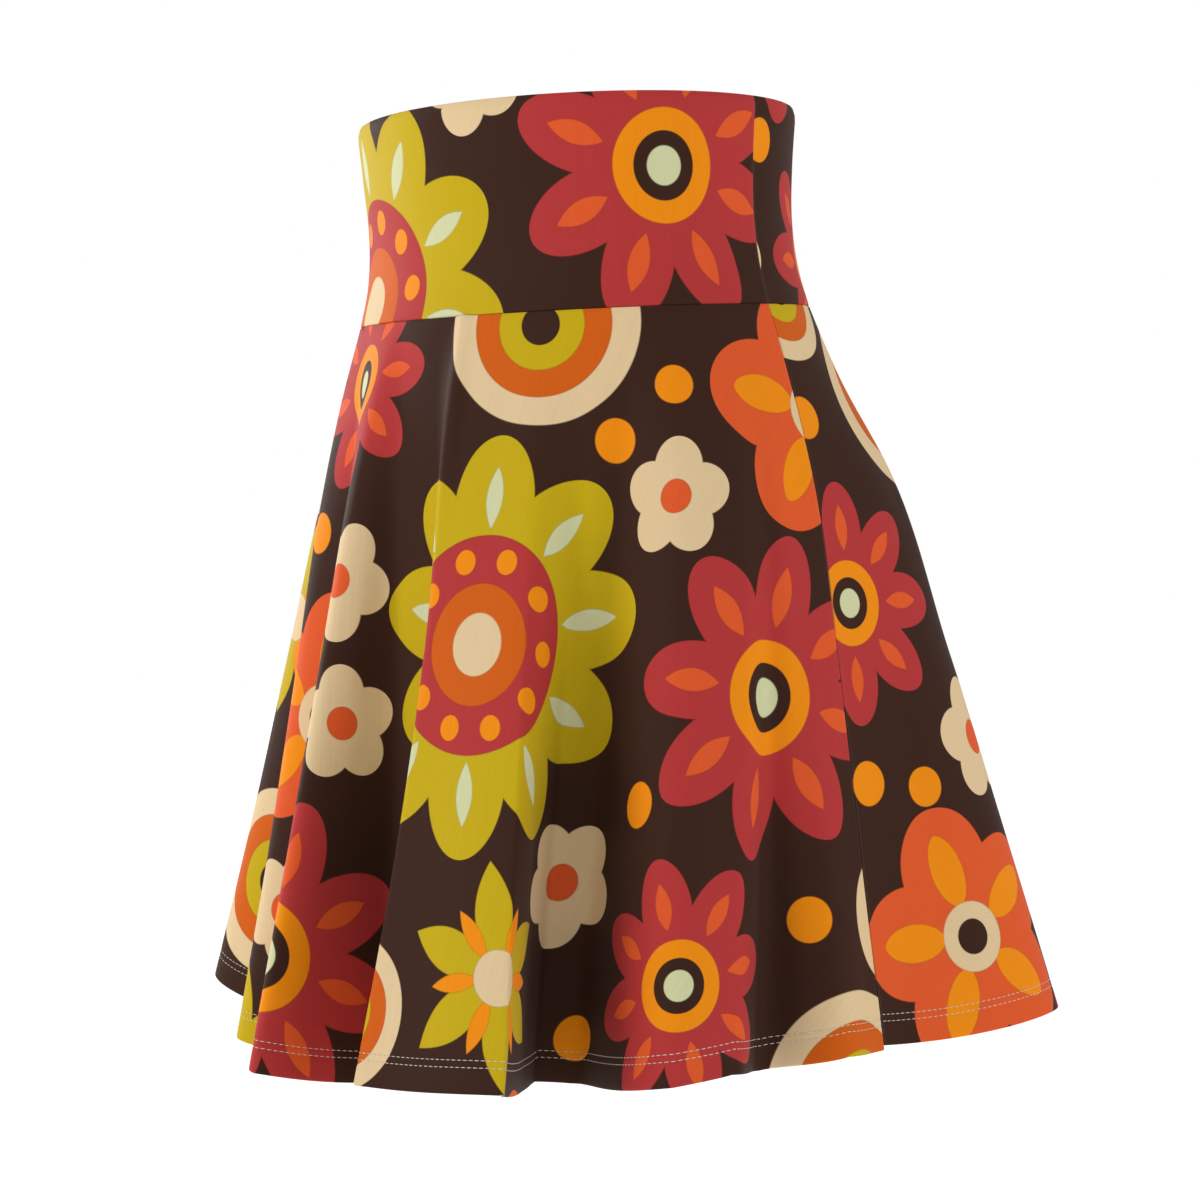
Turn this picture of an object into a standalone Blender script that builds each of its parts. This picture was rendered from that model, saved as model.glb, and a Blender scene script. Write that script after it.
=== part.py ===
"""A circle skirt in stretch knit: a wide curved waistband over a flared skirt, open at waist and hem.

The wearer faces -Y and the wearer's left is +X. The origin is the centre of the natural waist, and Z points
up. Each panel is a grid of its cut: columns run down the cloth and rows run round it. Each row follows a ring
worked out from a table, so the panel takes its worn shape, and a Solidify modifier gives it its thickness.
"""

from collections import namedtuple
from math import pi

import bmesh
import bpy
import numpy as np

# Cloth and seams, in metres.
CLOTH = 0.0012
BAND_CLOTH = 0.0018  # the band is folded over at the top, so it is two layers
HEM_CLOTH = 0.0024  # the hem is turned up inside, so it is two layers too
HEM_HEIGHT = 0.0165
SEAM_GAP = 0.0003

# The waistband. Its edges drop towards the front, as a waist does: each ring rises towards the back by
# back_rise for each metre of depth.
BandRing = namedtuple("BandRing", "height half_width half_depth back_shift back_rise")
BAND_RINGS = (
    BandRing(0.0540, 0.1152, 0.0925, 0.0000, 0.028),
    BandRing(0.0280, 0.1130, 0.0900, 0.0010, 0.034),
    BandRing(0.0000, 0.1118, 0.0885, 0.0030, 0.041),
    BandRing(-0.0220, 0.1140, 0.0903, 0.0045, 0.050),
    BandRing(-0.0397, 0.1184, 0.0945, 0.0055, 0.058),
)
WAIST_SEAM = BAND_RINGS[-1]

# The skirt without its folds. The share runs down the cut, from 0 at the waist seam to 1 at the hem.
SkirtRing = namedtuple("SkirtRing", "share half_width front_depth back_depth")
SKIRT_RINGS = (
    SkirtRing(0.00, 0.1184, 0.0945, 0.0945),
    SkirtRing(0.10, 0.1295, 0.1000, 0.1100),
    SkirtRing(0.25, 0.1430, 0.1060, 0.1410),
    SkirtRing(0.50, 0.1545, 0.1165, 0.1600),
    SkirtRing(0.75, 0.1635, 0.1295, 0.1725),
    SkirtRing(1.00, 0.1730, 0.1450, 0.1820),
)

# The folds: each row is one turn of the hem, a crest where it reaches out or a trough where it reaches in.
# The first row of each panel is the side seam that it starts from. Angles are in degrees from the front
# centre, growing towards the wearer's left side, and a turn may drift from one angle at the waist to another
# at the hem, with a bow of so many degrees halfway. The reach is at the hem, the start is the share where the
# fold sets in, and the length is the cloth's from the waist seam to the hem.
Turn = namedtuple("Turn", "waist_angle hem_angle bow reach start length")
FRONT_TURNS = (
    Turn(-90, -89, 0.0, -0.006, 0.10, 0.340),
    Turn(-70, -65, 0.0, 0.034, 0.00, 0.338),
    Turn(-54, -49, 0.0, -0.026, 0.05, 0.344),
    Turn(-44, -32, 0.0, 0.012, 0.00, 0.346),
    Turn(-32, -17, 0.0, -0.024, 0.00, 0.347),
    Turn(-18, -4, 0.0, 0.046, 0.00, 0.350),
    Turn(-9, 1, 0.0, -0.020, 0.05, 0.347),
    Turn(2, 6, 0.0, -0.026, 0.05, 0.346),
    Turn(8, 10, 1.0, 0.034, 0.00, 0.3448),
    Turn(24, 32, 0.0, 0.048, 0.15, 0.3455),
    Turn(41, 29, -2.0, -0.028, 0.05, 0.3415),
    Turn(48, 36, -2.0, -0.035, 0.00, 0.343),
    Turn(58, 52, -1.5, 0.028, 0.00, 0.341),
    Turn(69, 61, 0.0, 0.020, 0.00, 0.338),
    Turn(78, 70, 0.0, -0.010, 0.40, 0.3393),
    Turn(86, 82, 0.0, 0.014, 0.45, 0.336),
)
BACK_TURNS = (
    Turn(90, 92, 0.0, 0.007, 0.10, 0.3353),
    Turn(112, 120, 0.0, 0.053, 0.12, 0.3475),
    Turn(130, 137, 0.0, -0.012, 0.20, 0.345),
    Turn(149, 153, 0.0, 0.034, 0.25, 0.345),
    Turn(163, 168, 0.0, -0.024, 0.25, 0.345),
    Turn(179, 185, 0.0, 0.046, 0.20, 0.345),
    Turn(195, 197, 0.0, -0.014, 0.25, 0.345),
    Turn(206, 210, 0.0, 0.026, 0.25, 0.345),
    Turn(221, 224, 0.0, -0.024, 0.20, 0.345),
    Turn(240, 243, 0.0, 0.046, 0.10, 0.345),
    Turn(256, 258, 0.0, -0.012, 0.10, 0.342),
)
TURNS = FRONT_TURNS + BACK_TURNS
FOLD_ONSET = 0.10  # share over which a fold sets in
HEM_STEP = 0.0020  # the front hem hangs this much lower than the back hem where they meet at the left side
FOLD_ROUNDING = 0.0038  # how softly a turn bends at the hem
WAIST_ROUNDING = 0.15  # part of that rounding at the waist seam

# The grids.
SKIRT_COLUMNS = 84
SKIRT_ROWS = 12
BAND_COLUMNS = 28
BAND_ROWS = 6
RING_POINTS = 1440
POINTS_PER_TURN = 80
CUT_LEVELS = 49

# Colours of the cloth, linear.
GROUND_BROWN = (0.052, 0.024, 0.018, 1.0)
KNIT_ROUGHNESS = 0.62


def clear_scene():
    for thing in list(bpy.data.objects):
        bpy.data.objects.remove(thing, do_unlink=True)


def through_rows(rows, at):
    """The columns of a table beside its first one, along a smooth curve through the rows."""
    table = np.array(rows, float)
    table = table[np.argsort(table[:, 0])]
    knots = table[:, 0]
    first = np.clip(np.searchsorted(knots, at, side="right") - 1, 0, len(knots) - 2)
    span = knots[first + 1] - knots[first]
    t = (at - knots[first]) / span
    found = []
    for values in table[:, 1:].T:
        slopes = np.gradient(values, knots)
        ends = values[first] * (2 * t**3 - 3 * t**2 + 1) + values[first + 1] * (3 * t**2 - 2 * t**3)
        leans = slopes[first] * (t**3 - 2 * t**2 + t) + slopes[first + 1] * (t**3 - t**2)
        found.append(ends + span * leans)
    return found


def fold_growth(share, start):
    """0 at the waist seam and 1 at the hem, and nearly straight once the fold has set in."""

    def eased(at):
        return (np.hypot(at - start, FOLD_ONSET) + (at - start)) / 2

    return (eased(share) - eased(0)) / (eased(1) - eased(0))


def between_turns(values, weight, turn_round=0.0):
    """One value per turn, spread over the points from each turn to the next and from the last to the first."""
    following = np.roll(values, -1)
    following[-1] += turn_round
    return (values[:, None] * (1 - weight) + following[:, None] * weight).ravel()


def along(points):
    """Distance along a closed run of points, from its first point."""
    steps = np.linalg.norm(np.diff(points, axis=0, append=points[:1]), axis=1)
    return np.concatenate([[0], np.cumsum(steps)])


def rounded(points, distance, radius):
    """The closed run again, evenly spaced and with its turns softened over that radius."""
    length = distance[-1]
    even = np.linspace(0, length, RING_POINTS, endpoint=False)
    frequency = np.fft.rfftfreq(RING_POINTS, length / RING_POINTS)
    softening = np.exp(-2 * (np.pi * frequency * radius) ** 2)
    closed = np.vstack([points, points[:1]])
    spread = np.array([np.interp(even, distance, side) for side in closed.T])
    smooth = np.fft.irfft(np.fft.rfft(spread) * softening, RING_POINTS).T
    return np.append(even, length), np.vstack([smooth, smooth[:1]])


def skirt_ring(share):
    """The skirt from above at this share of its cut, and how far along it each point of each turn is."""
    turns = np.array(TURNS)
    half_width, front_depth, back_depth = through_rows(SKIRT_RINGS, share)
    straight = np.arange(POINTS_PER_TURN) / POINTS_PER_TURN
    eased = (1 - np.cos(np.pi * straight)) / 2
    turn_angle = turns[:, 0] + (turns[:, 1] - turns[:, 0]) * share + turns[:, 2] * np.sin(pi * share)
    angle = np.radians(between_turns(turn_angle, straight, 360))
    reach = between_turns(turns[:, 3] * fold_growth(share, turns[:, 4]), eased)
    depth = np.where(np.cos(angle) > 0, front_depth, back_depth)
    across = (half_width + reach) * np.sin(angle)
    back = WAIST_SEAM.back_shift - (depth + reach) * np.cos(angle)
    points = np.stack([across, back], axis=1)
    distance = along(points)
    softness = FOLD_ROUNDING * (WAIST_ROUNDING + (1 - WAIST_ROUNDING) * share)
    return rounded(points, distance, softness), distance


def panel_points(is_front, columns, shares):
    """World points of a skirt panel, a row for each share. Down each column the cloth keeps its length."""
    first = 0 if is_front else len(FRONT_TURNS)
    last = len(FRONT_TURNS) if is_front else len(TURNS)
    place_in_turns = np.arange(len(TURNS) * POINTS_PER_TURN + 1) / POINTS_PER_TURN
    hem_distance = skirt_ring(1.0)[1]
    start, end = np.interp([first, last], place_in_turns, hem_distance)
    turn_of_column = np.interp(np.linspace(start, end, columns + 1), hem_distance, place_in_turns)
    levels = np.linspace(0, 1, CUT_LEVELS)
    flat = []
    for level in levels:
        (even, smooth), distance = skirt_ring(level)
        place = np.interp(turn_of_column, place_in_turns, distance)
        place[0] += SEAM_GAP / 2
        place[-1] -= SEAM_GAP / 2
        flat.append(np.array([np.interp(place, even, side) for side in smooth.T]).T)
    flat = np.array(flat)
    lengths = np.array([turn.length for turn in TURNS + TURNS[:1]])
    if is_front:
        lengths[last] += HEM_STEP
    cloth_length = np.interp(turn_of_column, np.arange(len(lengths)), lengths)
    run = np.linalg.norm(np.diff(flat, axis=0), axis=2)
    drop = np.sqrt((cloth_length / (CUT_LEVELS - 1)) ** 2 - run**2)
    start_height = WAIST_SEAM.height + WAIST_SEAM.back_rise * flat[0, :, 1]
    height = np.vstack([start_height, start_height - np.cumsum(drop, axis=0)])
    fine = np.dstack([flat, height])
    step = np.interp(shares, levels, np.arange(CUT_LEVELS))
    above = np.minimum(step.astype(int), CUT_LEVELS - 2)
    part = (step - above)[:, None, None]
    return fine[above] * (1 - part) + fine[above + 1] * part


def band_points(is_front, columns, heights):
    """World points of a waistband panel, a row of columns for each height."""
    half_width, half_depth, back_shift, back_rise = through_rows(BAND_RINGS, heights[:, None])
    trim = SEAM_GAP / 2 / WAIST_SEAM.half_depth
    start = -pi / 2 if is_front else pi / 2
    angle = np.linspace(start + trim, start + pi - trim, columns + 1)
    across = half_width * np.sin(angle)
    back = back_shift - half_depth * np.cos(angle)
    return np.dstack([across, back, heights[:, None] + back_rise * back])


def knit_material(name):
    material = bpy.data.materials.new(name)
    material.use_nodes = True
    surface = material.node_tree.nodes["Principled BSDF"]
    surface.inputs["Base Color"].default_value = GROUND_BROWN
    surface.inputs["Roughness"].default_value = KNIT_ROUGHNESS
    surface.inputs["Metallic"].default_value = 0.0
    material.diffuse_color = GROUND_BROWN
    return material


def cloth_panel(name, points, thin, thick, thick_rows):
    """A panel from its rows of points, top row first, with its wall inside them and the last rows thicker."""
    rows, columns = points.shape[:2]
    mesh = bpy.data.meshes.new(name)
    panel = bpy.data.objects.new(name, mesh)
    bpy.context.scene.collection.objects.link(panel)
    shape = bmesh.new()
    bmesh.ops.create_grid(shape, x_segments=columns - 1, y_segments=rows - 1, size=1)
    for vertex in shape.verts:
        column = round((vertex.co.x + 1) / 2 * (columns - 1))
        row = round((1 - vertex.co.y) / 2 * (rows - 1))
        vertex.co = points[row, column]
    shape.to_mesh(mesh)
    shape.free()
    wall = panel.vertex_groups.new(name="wall")
    for vertex in mesh.vertices:
        row = rows - 1 - vertex.index // columns
        wall.add([vertex.index], 1.0 if row >= rows - thick_rows else thin / thick, "REPLACE")
    solidify = panel.modifiers.new("cloth", "SOLIDIFY")
    solidify.thickness = thick
    solidify.offset = -1
    solidify.vertex_group = wall.name
    mesh.materials.append(knit_material(name + "_knit"))
    mesh.shade_smooth()
    return panel


def skirt_shares():
    """The rows of a skirt panel. Two are close together, where the turned-up hem makes the wall thicker."""
    length = TURNS[0].length
    step = (HEM_CLOTH - CLOTH) / length
    hem_top = 1 - HEM_HEIGHT / length
    return np.concatenate([np.linspace(SEAM_GAP / length, hem_top - step, SKIRT_ROWS), [hem_top, 1.0]])


def build():
    clear_scene()
    heights = np.linspace(BAND_RINGS[0].height, WAIST_SEAM.height, BAND_ROWS + 1)
    for side in ("front", "back"):
        is_front = side == "front"
        band = band_points(is_front, BAND_COLUMNS, heights)
        cloth_panel("waistband_" + side, band, BAND_CLOTH, BAND_CLOTH, 0)
        skirt = panel_points(is_front, SKIRT_COLUMNS, skirt_shares())
        cloth_panel("skirt_" + side, skirt, CLOTH, HEM_CLOTH, 2)


build()
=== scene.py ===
# %% [markdown]
# # A circle skirt in printed stretch knit
#
# The skirt is filled out as if someone wore it: a wide curved band round the waist, and below it a flared
# skirt that falls in deep, soft folds. The frame holds its rigid solids, which a physics engine collides
# with. This lesson gives each of them its finished cloth, one thin sheet for each panel that a maker
# would cut.

# %% Load the frame
from collections import namedtuple
from math import cos, hypot, pi, radians, sin

import bmesh
import bpy
import numpy as np
from mathutils import Matrix, Vector


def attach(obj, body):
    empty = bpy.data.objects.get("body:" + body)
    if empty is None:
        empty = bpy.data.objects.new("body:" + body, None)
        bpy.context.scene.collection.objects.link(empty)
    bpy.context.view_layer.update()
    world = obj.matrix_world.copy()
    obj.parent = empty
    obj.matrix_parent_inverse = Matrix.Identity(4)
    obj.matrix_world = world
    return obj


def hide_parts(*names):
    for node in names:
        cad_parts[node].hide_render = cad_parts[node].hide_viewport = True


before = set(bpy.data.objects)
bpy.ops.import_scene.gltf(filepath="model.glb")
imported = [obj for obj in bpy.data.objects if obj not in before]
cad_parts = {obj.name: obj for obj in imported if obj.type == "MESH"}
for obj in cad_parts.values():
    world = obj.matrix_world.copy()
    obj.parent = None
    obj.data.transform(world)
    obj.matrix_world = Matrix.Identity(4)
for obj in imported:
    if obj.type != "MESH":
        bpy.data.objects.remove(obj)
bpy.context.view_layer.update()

print("solids to dress:", ", ".join(sorted(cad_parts)))

# %% [markdown]
# ## The camera
#
# The wearer faces -Y and the camera looks at the front and the left hip, from 44 degrees round. It stands
# level with the skirt's middle and a little over a metre away, so that the top edge is seen from just
# below and the hem from just above. A camera looks along its own -Z, so `to_track_quat` turns that axis
# to the target.

# %% Camera
VIEW_ROUND = radians(44)
VIEW_DISTANCE = 1.30
VIEW_ASIDE = 0.013
VIEW_HEIGHT = -0.146
HORIZON = 60 / 2708  # how far above the middle of the picture the horizon lies, as a slope
LENS = 81.24

toward_camera = Vector((sin(VIEW_ROUND), -cos(VIEW_ROUND), 0))
view_right = Vector((cos(VIEW_ROUND), sin(VIEW_ROUND), 0))
camera = bpy.data.objects.new("camera", bpy.data.cameras.new("camera"))
bpy.context.scene.collection.objects.link(camera)
camera.data.lens = LENS
camera.location = toward_camera * VIEW_DISTANCE + view_right * VIEW_ASIDE + Vector((0, 0, VIEW_HEIGHT))
camera.rotation_mode = "QUATERNION"
camera.rotation_quaternion = (-toward_camera - Vector((0, 0, HORIZON))).to_track_quat("-Z", "Y")
bpy.context.scene.camera = camera
print("camera at", [round(x, 3) for x in camera.location])

# %% [markdown]
# ## Soft studio light
#
# A studio lights clothes with large soft boxes, which leave hardly any hard shadow. Two of them stand
# well out to the sides, the left one stronger. Cloth that faces a side is then brighter than the hollows
# between the folds, which open towards the viewer and stay dark, and that shows how deep the folds are. A
# third, behind the wearer's right hip, draws a soft pale rim on the folds that face left. The floor is
# where the wearer would stand. It is pale and plain, and it glows a little so that it meets the wall
# without a line. The colours are shown as they are, with no film look, so that the dyes keep their
# strength.

# %% Light and floor
FLOOR_HEIGHT = -1.0
FLOOR_RADIUS = 14
SURROUND = 0.46
FLOOR_GLOW = 0.25
SEEN_FLOOR_GLOW = 0.45
LIGHT_AIM = Vector((0, 0, -0.17))

bpy.context.scene.view_settings.view_transform = "Standard"


def area_light(name, round_degrees, height, distance, width, power):
    """A square soft box that looks at the skirt's middle. Its place is in degrees round from the front."""
    light = bpy.data.objects.new(name, bpy.data.lights.new(name, "AREA"))
    bpy.context.scene.collection.objects.link(light)
    angle = radians(round_degrees)
    light.location = Vector((sin(angle), -cos(angle), 0)) * distance + Vector((0, 0, height))
    light.rotation_mode = "QUATERNION"
    light.rotation_quaternion = (LIGHT_AIM - light.location).to_track_quat("-Z", "Y")
    light.data.shape = "SQUARE"
    light.data.size = width
    light.data.energy = power
    return light


area_light("left_light", -25, 0.55, 2.2, 1.2, 25)
area_light("right_light", 104, 0.55, 2.2, 1.2, 17)
area_light("rim_light", -88, 0.35, 2.2, 0.8, 15)

world = bpy.data.worlds.new("studio")
bpy.context.scene.world = world
world.use_nodes = True
world_nodes = world.node_tree.nodes
surround = world_nodes["Background"]
surround.inputs["Color"].default_value = (1, 1, 1, 1)
surround.inputs["Strength"].default_value = SURROUND
seen_wall = world_nodes.new("ShaderNodeBackground")
seen_wall.inputs["Color"].default_value = (1, 1, 1, 1)
which = world_nodes.new("ShaderNodeMixShader")
ray = world_nodes.new("ShaderNodeLightPath")
world.node_tree.links.new(ray.outputs["Is Camera Ray"], which.inputs[0])
world.node_tree.links.new(surround.outputs[0], which.inputs[1])
world.node_tree.links.new(seen_wall.outputs[0], which.inputs[2])
world.node_tree.links.new(which.outputs[0], world_nodes["World Output"].inputs["Surface"])

floor_shape = bmesh.new()
bmesh.ops.create_circle(floor_shape, cap_ends=True, segments=64, radius=FLOOR_RADIUS,
                        matrix=Matrix.Translation((0, 0, FLOOR_HEIGHT)))
floor_mesh = bpy.data.meshes.new("floor")
floor_shape.to_mesh(floor_mesh)
floor_shape.free()
floor = bpy.data.objects.new("floor", floor_mesh)
bpy.context.scene.collection.objects.link(floor)
floor_paint = bpy.data.materials.new("floor_paint")
floor_paint.use_nodes = True
floor_surface = floor_paint.node_tree.nodes["Principled BSDF"]
floor_surface.inputs["Base Color"].default_value = (0.85, 0.85, 0.85, 1)
floor_surface.inputs["Roughness"].default_value = 0.9
floor_surface.inputs["Emission Color"].default_value = (1, 1, 1, 1)
glow = floor_paint.node_tree.nodes.new("ShaderNodeMath")
glow.operation = "MULTIPLY_ADD"
floor_ray = floor_paint.node_tree.nodes.new("ShaderNodeLightPath")
floor_paint.node_tree.links.new(floor_ray.outputs["Is Camera Ray"], glow.inputs[0])
glow.inputs[1].default_value = SEEN_FLOOR_GLOW
glow.inputs[2].default_value = FLOOR_GLOW
floor_paint.node_tree.links.new(glow.outputs[0], floor_surface.inputs["Emission Strength"])
floor_mesh.materials.append(floor_paint)
print("floor", -FLOOR_HEIGHT, "m below the waist")

# %% [markdown]
# ## The form of the skirt
#
# A flared skirt is a flat piece cut from a ring, sewn by its short edge to the waist. Gravity pulls it
# down while its long edge has more cloth than the hips need, so it falls in folds. Cloth simulation could
# drape it, but then each fold lands where chance puts it. Here the folds are set one by one. Each row of the
# table is one turn of the hem, a crest or a trough. It runs down from its angle at the waist to its angle
# at the hem, and `bow` swings it aside halfway down, because few folds fall quite straight. `crisp` says
# how sharply the cloth bends there. From above, the skirt at any level is then a closed ring through
# those turns, and the softening of that ring is the stiffness of the knit.

# %% The tables of the form
BandRing = namedtuple("BandRing", "height half_width half_depth back_shift back_rise")
BAND_RINGS = (
    BandRing(0.0540, 0.1152, 0.0925, 0.0000, 0.028),
    BandRing(0.0280, 0.1130, 0.0900, 0.0010, 0.034),
    BandRing(0.0000, 0.1118, 0.0885, 0.0030, 0.041),
    BandRing(-0.0220, 0.1140, 0.0903, 0.0045, 0.050),
    BandRing(-0.0397, 0.1184, 0.0945, 0.0055, 0.058),
)
WAIST_SEAM = BAND_RINGS[-1]

SkirtRing = namedtuple("SkirtRing", "share half_width front_depth back_depth")
SKIRT_RINGS = (
    SkirtRing(0.00, 0.1184, 0.0945, 0.0945),
    SkirtRing(0.10, 0.1295, 0.1000, 0.1100),
    SkirtRing(0.25, 0.1430, 0.1060, 0.1410),
    SkirtRing(0.50, 0.1545, 0.1165, 0.1600),
    SkirtRing(0.75, 0.1635, 0.1295, 0.1725),
    SkirtRing(1.00, 0.1730, 0.1450, 0.1820),
)

Turn = namedtuple("Turn", "waist_angle hem_angle bow reach start length crisp")
FRONT_TURNS = (
    Turn(-90, -89, 0.0, -0.006, 0.10, 0.340, 0.0),
    Turn(-70, -65, 0.0, 0.034, 0.00, 0.338, 0.2),
    Turn(-54, -49, 0.0, -0.026, 0.05, 0.344, 0.0),
    Turn(-44, -32, 0.0, 0.012, 0.00, 0.346, 0.6),
    Turn(-32, -17, 0.0, -0.024, 0.00, 0.347, 0.0),
    Turn(-18, -4, 0.0, 0.046, 0.00, 0.350, 0.6),
    Turn(-9, 1, 0.0, -0.020, 0.05, 0.347, 0.0),
    Turn(2, 6, 0.0, -0.026, 0.05, 0.346, 0.0),
    Turn(8, 10, 1.0, 0.034, 0.00, 0.3448, 0.8),
    Turn(24, 32, 0.0, 0.048, 0.15, 0.3455, 1.0),
    Turn(41, 29, -2.0, -0.028, 0.05, 0.3415, 0.0),
    Turn(48, 36, -2.0, -0.035, 0.00, 0.343, 0.0),
    Turn(58, 52, -1.5, 0.028, 0.00, 0.341, 0.0),
    Turn(69, 61, 0.0, 0.020, 0.00, 0.338, 0.0),
    Turn(78, 70, 0.0, -0.010, 0.40, 0.3393, 0.0),
    Turn(86, 82, 0.0, 0.014, 0.45, 0.336, 0.0),
)
BACK_TURNS = (
    Turn(90, 92, 0.0, 0.007, 0.10, 0.3353, 0.0),
    Turn(112, 120, 0.0, 0.053, 0.12, 0.3475, 0.4),
    Turn(130, 137, 0.0, -0.012, 0.20, 0.345, 0.0),
    Turn(149, 153, 0.0, 0.034, 0.25, 0.345, 0.2),
    Turn(163, 168, 0.0, -0.024, 0.25, 0.345, 0.0),
    Turn(179, 185, 0.0, 0.046, 0.20, 0.345, 0.6),
    Turn(195, 197, 0.0, -0.014, 0.25, 0.345, 0.0),
    Turn(206, 210, 0.0, 0.026, 0.25, 0.345, 0.1),
    Turn(221, 224, 0.0, -0.024, 0.20, 0.345, 0.0),
    Turn(240, 243, 0.0, 0.046, 0.10, 0.345, 0.5),
    Turn(256, 258, 0.0, -0.012, 0.10, 0.342, 0.0),
)
TURNS = FRONT_TURNS + BACK_TURNS

FOLD_ONSET = 0.10
HEM_STEP = 0.0020  # the front hem hangs this much lower than the back hem where they meet at the left side
SOFT_BEND = 0.0038
CRISP_BEND = 0.0012
WAIST_ROUNDING = 0.15
POINTS_PER_TURN = 80
RING_POINTS = 2880
CUT_LEVELS = 97
turn_places = np.arange(len(TURNS) * POINTS_PER_TURN + 1) / POINTS_PER_TURN
print(len(FRONT_TURNS), "turns in the front hem and", len(BACK_TURNS), "in the back hem")

# %% [markdown]
# ## Rings from the tables
#
# `through_rows` draws a smooth curve through a table's rows, and `skirt_ring` bends the plain oval at one
# level in and out at the turns. The corners of that ring are then softened by a blur along its length,
# strong where the cloth bends gently and weak at a crisp crest. The rings are plain numbers as yet: numpy
# works them out, and the mesh comes from a grid further on.

# %% Ring helpers
def through_rows(rows, at):
    """The columns of a table beside its first one, along a smooth curve through the rows."""
    table = np.array(rows, float)
    table = table[np.argsort(table[:, 0])]
    knots = table[:, 0]
    first = np.clip(np.searchsorted(knots, at, side="right") - 1, 0, len(knots) - 2)
    span = knots[first + 1] - knots[first]
    t = (at - knots[first]) / span
    found = []
    for values in table[:, 1:].T:
        slopes = np.gradient(values, knots)
        ends = values[first] * (2 * t**3 - 3 * t**2 + 1) + values[first + 1] * (3 * t**2 - 2 * t**3)
        leans = slopes[first] * (t**3 - 2 * t**2 + t) + slopes[first + 1] * (t**3 - t**2)
        found.append(ends + span * leans)
    return found


def fold_growth(share, start):
    """0 at the waist seam and 1 at the hem, and nearly straight once the fold has set in."""

    def eased(at):
        return (np.hypot(at - start, FOLD_ONSET) + (at - start)) / 2

    return (eased(share) - eased(0)) / (eased(1) - eased(0))


def between_turns(values, weight, turn_round=0.0):
    """One value per turn, spread over the points from each turn to the next, and round to the first again."""
    following = np.roll(values, -1)
    following[-1] += turn_round
    return (values[:, None] * (1 - weight) + following[:, None] * weight).ravel()


def along(points):
    """Distance along a closed run of points, from its first point."""
    steps = np.linalg.norm(np.diff(points, axis=0, append=points[:1]), axis=1)
    return np.concatenate([[0], np.cumsum(steps)])


def blurred(values, spacing, radius):
    """Values along a closed run, softened over that radius."""
    frequency = np.fft.rfftfreq(len(values), spacing)
    softening = np.exp(-2 * (np.pi * frequency * radius) ** 2)
    return np.fft.irfft(np.fft.rfft(values) * softening, len(values))


def skirt_ring(share):
    """The skirt from above at this share of its cut: even distances, their points, each turn's distance."""
    turns = np.array(TURNS)
    half_width, front_depth, back_depth = through_rows(SKIRT_RINGS, share)
    straight = np.arange(POINTS_PER_TURN) / POINTS_PER_TURN
    eased = (1 - np.cos(np.pi * straight)) / 2
    places = turns[:, 0] + (turns[:, 1] - turns[:, 0]) * share + turns[:, 2] * sin(pi * share)
    angle = np.radians(between_turns(places, straight, 360))
    reach = between_turns(turns[:, 3] * fold_growth(share, turns[:, 4]), eased)
    depth = np.where(np.cos(angle) > 0, front_depth, back_depth)
    aside = (half_width + reach) * np.sin(angle)
    back = WAIST_SEAM.back_shift - (depth + reach) * np.cos(angle)
    points = np.stack([aside, back], axis=1)
    distance = along(points)
    even = np.linspace(0, distance[-1], RING_POINTS, endpoint=False)
    spacing = distance[-1] / RING_POINTS
    closed = np.vstack([points, points[:1]])
    crisp = np.interp(even, distance[:-1], between_turns(turns[:, 6], eased)) ** 2
    rounding = WAIST_ROUNDING + (1 - WAIST_ROUNDING) * share
    sides = []
    for side in closed.T:
        ring = np.interp(even, distance, side)
        soft = blurred(ring, spacing, SOFT_BEND * rounding)
        sharp = blurred(ring, spacing, CRISP_BEND * rounding)
        sides.append(soft + (sharp - soft) * crisp)
    ring = np.array(sides).T
    return np.append(even, distance[-1]), np.vstack([ring, ring[:1]]), distance


waist_ring, hem_ring = skirt_ring(0.0), skirt_ring(1.0)
waist_girth, hem_girth = (along(ring[1][:-1])[-1] for ring in (waist_ring, hem_ring))
print(f"{waist_girth:.3f} m round the waist seam, {hem_girth:.3f} m round the hem")

# %% [markdown]
# ## From rings to a panel of the cut
#
# A panel's columns run down the cloth, so each keeps the length that was cut, and its height at each
# level follows from that length and from how far the rings have moved out. Columns lie closer together
# where the hem bends. The panel also carries its flat cut: every point knows its place, in metres, on the
# flat piece of cloth, a piece of a ring. That flat place becomes the UV map, so print and knit lie on the
# folds as they do on real cloth.

# %% Skirt panels
SKIRT_COLUMNS = 360
BEND_ROOM = 0.02  # room that each radian of bending takes among the columns
SEAM_ROLL = 0.0008  # radius over which the cloth turns in at a seam


def column_turns(first, last):
    """Where each column of a panel stands among the turns, from turn `first` to turn `last`."""
    even, ring, distance = hem_ring
    steps = np.diff(ring, axis=0)
    heading = np.unwrap(np.arctan2(steps[:, 1], steps[:, 0]))
    bend = np.abs(np.diff(heading, append=heading[:1] + 2 * pi))
    room = even + BEND_ROOM * np.concatenate([[0], np.cumsum(bend)])
    ends = np.interp(np.interp([first, last], turn_places, distance), even, room)
    at = np.interp(np.linspace(ends[0], ends[1], SKIRT_COLUMNS + 1), room, even)
    return np.interp(at, distance, turn_places)


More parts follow.
